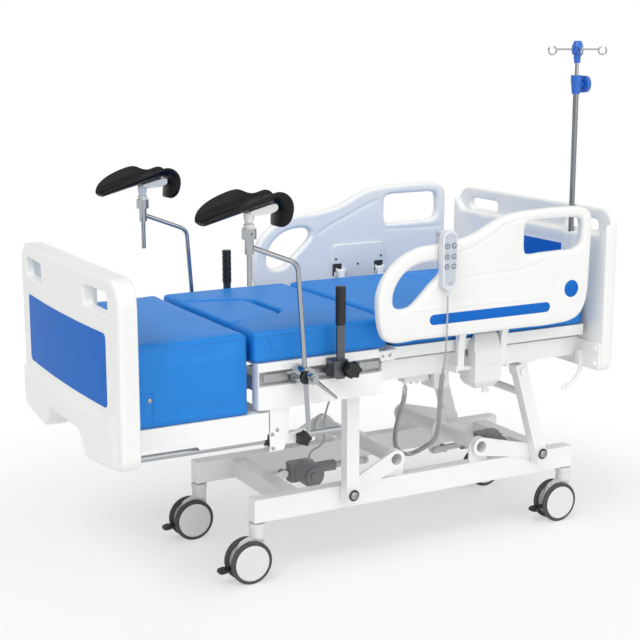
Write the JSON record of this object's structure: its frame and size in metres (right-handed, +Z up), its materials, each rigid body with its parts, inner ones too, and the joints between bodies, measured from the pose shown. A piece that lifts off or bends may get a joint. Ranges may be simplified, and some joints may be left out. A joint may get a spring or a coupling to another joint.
{
  "type": "electric delivery bed",
  "caption": "Height-adjustable maternity bed on castors with raising back, pull-out foot section, drop-down side rails, leg holders, hand grips and drip pole.",
  "frame": {"origin": "on the floor under the middle of the bed's length and width", "axes": "+X to the head end, -Y to the side that holds the handset, +Z up"},
  "size_m": [1.9471, 1.047, 1.795],
  "materials": {
    "ivory_steel": "satin powder coat",
    "white_moulding": "fine matt moulding",
    "blue_cover": "soft blue vinyl",
    "dark_vinyl": "blue vinyl",
    "bright_steel": "brushed",
    "chrome": "polished",
    "black_plastic": "matt",
    "blue_plastic": "satin",
    "grey_plastic": "matt",
    "motor_grey": "matt",
    "wheel": "grey hub with dark tread",
    "rubber_cord": "smooth",
    "dark_cord": "smooth"
  },
  "bodies": {
    "base": {"base_frame": "ivory_steel"},
    "caster_near_foot": {"caster_fork_near_foot": "grey_plastic"},
    "wheels_near_foot": {"caster_wheels_near_foot": "wheel"},
    "pedal_near_foot": {"caster_pedal_near_foot": "black_plastic"},
    "caster_far_foot": {"caster_fork_far_foot": "grey_plastic"},
    "wheels_far_foot": {"caster_wheels_far_foot": "wheel"},
    "pedal_far_foot": {"caster_pedal_far_foot": "black_plastic"},
    "caster_near_head": {"caster_fork_near_head": "grey_plastic"},
    "wheels_near_head": {"caster_wheels_near_head": "wheel"},
    "pedal_near_head": {"caster_pedal_near_head": "black_plastic"},
    "caster_far_head": {"caster_fork_far_head": "grey_plastic"},
    "wheels_far_head": {"caster_wheels_far_head": "wheel"},
    "pedal_far_head": {"caster_pedal_far_head": "black_plastic"},
    "foot_crank": {"foot_crank": "ivory_steel"},
    "top_frame": {"main_frame": "ivory_steel", "rail_housings": "grey_plastic", "control_boxes": "grey_plastic", "leg_clamps": "chrome", "head_board": "white_moulding", "drip_pole_tube": "chrome", "seat_cushion": "blue_cover", "handset_curl": "rubber_cord"},
    "head_crank": {"head_crank": "ivory_steel"},
    "head_legs": {"head_legs": "ivory_steel"},
    "foot_lift_motor": {"foot_lift_motor": "motor_grey", "foot_motor_lead": "dark_cord"},
    "foot_lift_rod": {"foot_lift_rod": "bright_steel"},
    "head_lift_motor": {"head_lift_motor": "motor_grey"},
    "head_lift_rod": {"head_lift_rod": "bright_steel"},
    "back_section": {"back_deck": "ivory_steel", "back_cushion": "blue_cover"},
    "back_motor": {"back_motor": "motor_grey"},
    "back_rod": {"back_rod": "bright_steel"},
    "seat_plug": {"seat_plug": "dark_vinyl"},
    "foot_section": {"foot_frame": "ivory_steel", "foot_board": "white_moulding"},
    "foot_cushion": {"foot_cushion": "blue_cover"},
    "foot_lock_knob_near": {"foot_lock_knob_near": "black_plastic"},
    "rail_arms_near": {"rail_arms_near": "bright_steel"},
    "side_rail_near": {"side_rail_near": "white_moulding", "handset": "grey_plastic", "handset_cord": "rubber_cord"},
    "leg_rod_near": {"leg_rod_near": "chrome"},
    "leg_post_near": {"leg_post_near": "chrome"},
    "leg_cradle_near": {"leg_cradle_near": "black_plastic"},
    "leg_clamp_lever_near": {"leg_clamp_lever_near": "black_plastic"},
    "hand_grip_near": {"hand_grip_near": "black_plastic"},
    "grip_knob_near": {"grip_knob_near": "black_plastic"},
    "foot_lock_knob_far": {"foot_lock_knob_far": "black_plastic"},
    "rail_arms_far": {"rail_arms_far": "bright_steel"},
    "side_rail_far": {"side_rail_far": "white_moulding"},
    "leg_rod_far": {"leg_rod_far": "chrome"},
    "leg_post_far": {"leg_post_far": "chrome"},
    "leg_cradle_far": {"leg_cradle_far": "black_plastic"},
    "leg_clamp_lever_far": {"leg_clamp_lever_far": "black_plastic"},
    "hand_grip_far": {"hand_grip_far": "black_plastic"},
    "grip_knob_far": {"grip_knob_far": "black_plastic"},
    "drip_pole_rod": {"drip_pole_rod": "chrome"},
    "drip_pole_knob": {"drip_pole_knob": "blue_plastic"},
    "handset_keys": {"handset_keys": "blue_plastic"}
  },
  "joints": [
    {"name": "swivel_near_foot", "type": "hinge", "parent": "base", "child": "caster_near_foot", "pos_m": [-0.372, -0.241, 0.205], "axis": [0, 0, 1], "continuous": true},
    {"name": "roll_near_foot", "type": "hinge", "parent": "caster_near_foot", "child": "wheels_near_foot", "pos_m": [-0.406, -0.241, 0.075], "axis": [0, 1, 0], "continuous": true},
    {"name": "brake_pedal_near_foot", "type": "hinge", "parent": "caster_near_foot", "child": "pedal_near_foot", "pos_m": [-0.444, -0.241, 0.065], "axis": [0, -1, 0], "range_deg": [0, 14]},
    {"name": "swivel_far_foot", "type": "hinge", "parent": "base", "child": "caster_far_foot", "pos_m": [-0.372, 0.241, 0.205], "axis": [0, 0, 1], "continuous": true},
    {"name": "roll_far_foot", "type": "hinge", "parent": "caster_far_foot", "child": "wheels_far_foot", "pos_m": [-0.406, 0.241, 0.075], "axis": [0, 1, 0], "continuous": true},
    {"name": "brake_pedal_far_foot", "type": "hinge", "parent": "caster_far_foot", "child": "pedal_far_foot", "pos_m": [-0.444, 0.241, 0.065], "axis": [0, -1, 0], "range_deg": [0, 14]},
    {"name": "swivel_near_head", "type": "hinge", "parent": "base", "child": "caster_near_head", "pos_m": [0.926, -0.241, 0.205], "axis": [0, 0, 1], "continuous": true},
    {"name": "roll_near_head", "type": "hinge", "parent": "caster_near_head", "child": "wheels_near_head", "pos_m": [0.892, -0.241, 0.075], "axis": [0, 1, 0], "continuous": true},
    {"name": "brake_pedal_near_head", "type": "hinge", "parent": "caster_near_head", "child": "pedal_near_head", "pos_m": [0.854, -0.241, 0.065], "axis": [0, -1, 0], "range_deg": [0, 14]},
    {"name": "swivel_far_head", "type": "hinge", "parent": "base", "child": "caster_far_head", "pos_m": [0.926, 0.241, 0.205], "axis": [0, 0, 1], "continuous": true},
    {"name": "roll_far_head", "type": "hinge", "parent": "caster_far_head", "child": "wheels_far_head", "pos_m": [0.892, 0.241, 0.075], "axis": [0, 1, 0], "continuous": true},
    {"name": "brake_pedal_far_head", "type": "hinge", "parent": "caster_far_head", "child": "pedal_far_head", "pos_m": [0.854, 0.241, 0.065], "axis": [0, -1, 0], "range_deg": [0, 14]},
    {"name": "bed_lift", "type": "hinge", "parent": "base", "child": "foot_crank", "pos_m": [0.16, 0, 0.355], "axis": [0, 1, 0], "range_deg": [-8, 42]},
    {"name": "bed_level", "type": "hinge", "parent": "foot_crank", "child": "top_frame", "pos_m": [-0.041, 0, 0.269], "axis": [0, 1, 0], "range_deg": [-43, 9]},
    {"name": "head_crank_turn", "type": "hinge", "parent": "base", "child": "head_crank", "pos_m": [0.522, 0, 0.348], "axis": [0, 1, 0], "range_deg": [-38.4, 8.12]},
    {"name": "head_leg_swing", "type": "hinge", "parent": "top_frame", "child": "head_legs", "pos_m": [0.667, 0, 0.622], "axis": [0, 1, 0], "range_deg": [-2.59, 1.3]},
    {"name": "foot_drive_tilt", "type": "hinge", "parent": "base", "child": "foot_lift_motor", "pos_m": [-0.15, 0, 0.275], "axis": [0, 1, 0], "range_deg": [-0.59, 0.99]},
    {"name": "foot_drive_stroke", "type": "slide", "parent": "foot_lift_motor", "child": "foot_lift_rod", "axis": [1, 0, 0.0004], "range_m": [-0.06161, 0.01254]},
    {"name": "head_drive_tilt", "type": "hinge", "parent": "base", "child": "head_lift_motor", "pos_m": [0.81, 0, 0.275], "axis": [0, 1, 0], "range_deg": [-1.61, 0.71]},
    {"name": "head_drive_stroke", "type": "slide", "parent": "head_lift_motor", "child": "head_lift_rod", "axis": [-0.9998, 0, -0.0217], "range_m": [-0.0549, 0.01127]},
    {"name": "back_raise", "type": "hinge", "parent": "top_frame", "child": "back_section", "pos_m": [0.063, 0, 0.768], "axis": [0, -1, 0], "range_deg": [0, 70], "deforming": ["seat_cushion"]},
    {"name": "back_drive_tilt", "type": "hinge", "parent": "top_frame", "child": "back_motor", "pos_m": [-0.33, 0, 0.64], "axis": [0, 1, 0], "range_deg": [-0.5, 1.5]},
    {"name": "back_drive_stroke", "type": "slide", "parent": "back_motor", "child": "back_rod", "axis": [0.9916, 0, 0.1297], "range_m": [-0.001, 0.1052]},
    {"name": "seat_plug_lift", "type": "slide", "parent": "top_frame", "child": "seat_plug", "axis": [0, 0, 1], "range_m": [0, 0.15]},
    {"name": "foot_section_pull", "type": "slide", "parent": "top_frame", "child": "foot_section", "axis": [-1, 0, 0], "range_m": [0, 0.16]},
    {"name": "foot_cushion_lift", "type": "slide", "parent": "foot_section", "child": "foot_cushion", "axis": [0, 0, 1], "range_m": [0, 0.2]},
    {"name": "foot_lock_turn_near", "type": "hinge", "parent": "top_frame", "child": "foot_lock_knob_near", "pos_m": [-0.278, -0.39, 0.527], "axis": [0, 1, 0], "range_deg": [0, 360]},
    {"name": "rail_drop_near", "type": "hinge", "parent": "top_frame", "child": "rail_arms_near", "pos_m": [0.42, -0.405, 0.69], "axis": [1, 0, 0], "range_deg": [0, 166]},
    {"name": "rail_upright_near", "type": "hinge", "parent": "rail_arms_near", "child": "side_rail_near", "pos_m": [0.42, -0.43, 0.905], "axis": [1, 0, 0], "range_deg": [-167, 1]},
    {"name": "leg_rod_height_near", "type": "slide", "parent": "top_frame", "child": "leg_rod_near", "axis": [-0.0698, 0, 0.9976], "range_m": [-0.15, 0.1]},
    {"name": "leg_post_swivel_near", "type": "hinge", "parent": "leg_rod_near", "child": "leg_post_near", "pos_m": [-0.486, -0.44, 1.18], "axis": [0, 0, 1], "range_deg": [-90, 90]},
    {"name": "leg_cradle_tilt_near", "type": "hinge", "parent": "leg_post_near", "child": "leg_cradle_near", "pos_m": [-0.486, -0.44, 1.266], "axis": [0, 1, 0], "range_deg": [-25, 25]},
    {"name": "leg_clamp_turn_near", "type": "hinge", "parent": "top_frame", "child": "leg_clamp_lever_near", "pos_m": [-0.292, -0.48, 0.748], "axis": [0, 1, 0], "range_deg": [-60, 60]},
    {"name": "hand_grip_place_near", "type": "slide", "parent": "top_frame", "child": "hand_grip_near", "axis": [1, 0, 0], "range_m": [-0.05, 0.045]},
    {"name": "grip_knob_turn_near", "type": "hinge", "parent": "hand_grip_near", "child": "grip_knob_near", "pos_m": [-0.133, -0.46, 0.754], "axis": [0, 1, 0], "range_deg": [0, 360]},
    {"name": "foot_lock_turn_far", "type": "hinge", "parent": "top_frame", "child": "foot_lock_knob_far", "pos_m": [-0.278, 0.39, 0.527], "axis": [0, 1, 0], "range_deg": [0, 360]},
    {"name": "rail_drop_far", "type": "hinge", "parent": "top_frame", "child": "rail_arms_far", "pos_m": [0.42, 0.405, 0.69], "axis": [-1, 0, 0], "range_deg": [0, 166]},
    {"name": "rail_upright_far", "type": "hinge", "parent": "rail_arms_far", "child": "side_rail_far", "pos_m": [0.42, 0.43, 0.905], "axis": [-1, 0, 0], "range_deg": [-167, 1]},
    {"name": "leg_rod_height_far", "type": "slide", "parent": "top_frame", "child": "leg_rod_far", "axis": [-0.0698, 0, 0.9976], "range_m": [-0.15, 0.1]},
    {"name": "leg_post_swivel_far", "type": "hinge", "parent": "leg_rod_far", "child": "leg_post_far", "pos_m": [-0.486, 0.44, 1.18], "axis": [0, 0, 1], "range_deg": [-90, 90]},
    {"name": "leg_cradle_tilt_far", "type": "hinge", "parent": "leg_post_far", "child": "leg_cradle_far", "pos_m": [-0.486, 0.44, 1.266], "axis": [0, 1, 0], "range_deg": [-25, 25]},
    {"name": "leg_clamp_turn_far", "type": "hinge", "parent": "top_frame", "child": "leg_clamp_lever_far", "pos_m": [-0.292, 0.48, 0.748], "axis": [0, 1, 0], "range_deg": [-60, 60]},
    {"name": "hand_grip_place_far", "type": "slide", "parent": "top_frame", "child": "hand_grip_far", "axis": [1, 0, 0], "range_m": [-0.05, 0.045]},
    {"name": "grip_knob_turn_far", "type": "hinge", "parent": "hand_grip_far", "child": "grip_knob_far", "pos_m": [-0.133, 0.46, 0.754], "axis": [0, 1, 0], "range_deg": [0, 360]},
    {"name": "drip_pole_height", "type": "slide", "parent": "top_frame", "child": "drip_pole_rod", "axis": [0, 0, 1], "range_m": [-0.04, 0.2]},
    {"name": "drip_pole_knob_turn", "type": "hinge", "parent": "top_frame", "child": "drip_pole_knob", "pos_m": [0.944, -0.266, 1.642], "axis": [1, 0, 0], "range_deg": [0, 360]},
    {"name": "handset_key_press", "type": "slide", "parent": "side_rail_near", "child": "handset_keys", "axis": [0, 1, 0], "range_m": [0, 0.001], "stiffness_N_per_m": 800}
  ],
  "couplings": [
    {"joint": "bed_level", "follows": "bed_lift", "ratio": -1},
    {"joint": "head_crank_turn", "follows": "bed_lift", "ratio": -0.89048},
    {"joint": "head_leg_swing", "follows": "bed_lift", "ratio": -0.037914},
    {"joint": "foot_drive_tilt", "follows": "bed_lift", "ratio": 0.01173},
    {"joint": "foot_drive_stroke", "follows": "bed_lift", "m_per_rad": -0.082678},
    {"joint": "head_drive_tilt", "follows": "bed_lift", "ratio": -0.026349},
    {"joint": "head_drive_stroke", "follows": "bed_lift", "m_per_rad": -0.073523},
    {"joint": "back_drive_tilt", "follows": "back_raise", "ratio": 0.014347},
    {"joint": "back_drive_stroke", "follows": "back_raise", "m_per_rad": 0.085286},
    {"joint": "rail_upright_near", "follows": "rail_drop_near", "ratio": -1},
    {"joint": "rail_upright_far", "follows": "rail_drop_far", "ratio": -1}
  ]
}
